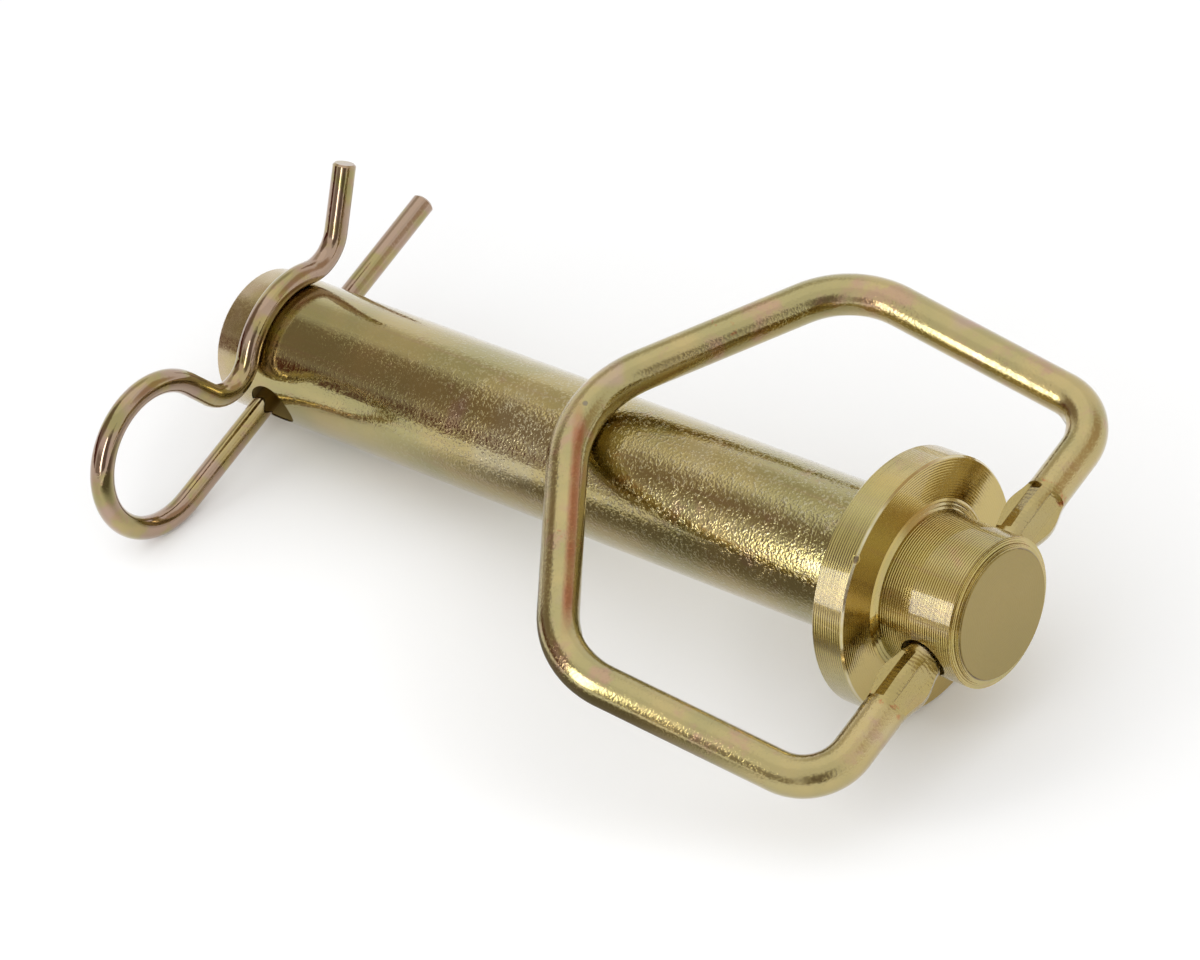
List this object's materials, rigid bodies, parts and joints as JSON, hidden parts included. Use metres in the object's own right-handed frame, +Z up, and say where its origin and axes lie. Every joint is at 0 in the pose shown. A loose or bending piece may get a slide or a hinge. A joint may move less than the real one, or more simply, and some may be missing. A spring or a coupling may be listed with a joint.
{
  "type": "swivel hitch pin",
  "caption": "Round steel hitch pin with a collar, a bent-rod handle that swings on its cross-drilled head, and a spring clip through its tip.",
  "frame": {"origin": "middle of the seat, the collar's back face, on the pin's axis", "axes": "+X from the tip towards the head, level with the bench; +Z up from the bench that the object lies on; the pin's axis rises 3.8 degrees towards the head, because the collar is wider than the shank"},
  "size_m": [0.1669, 0.0965, 0.0448],
  "materials": {
    "pin_steel": "yellow zinc plate, turned",
    "handle_steel": "yellow zinc plate, satin",
    "clip_wire": "yellow zinc plate, bright"
  },
  "bodies": {
    "pin": {"pin": "pin_steel"},
    "handle": {"handle": "handle_steel"},
    "clip": {"clip": "clip_wire"}
  },
  "joints": [
    {"name": "handle_swing", "type": "hinge", "parent": "pin", "child": "handle", "pos_m": [0.01432, 0, 0.00095], "axis": [-0.0177, 0.9633, 0.2677], "range_deg": [0, 335.1]},
    {"name": "clip_pull", "type": "slide", "parent": "pin", "child": "clip", "axis": [0.0177, -0.9633, -0.2677], "range_m": [0, 0.055], "deforming": ["clip"]}
  ]
}
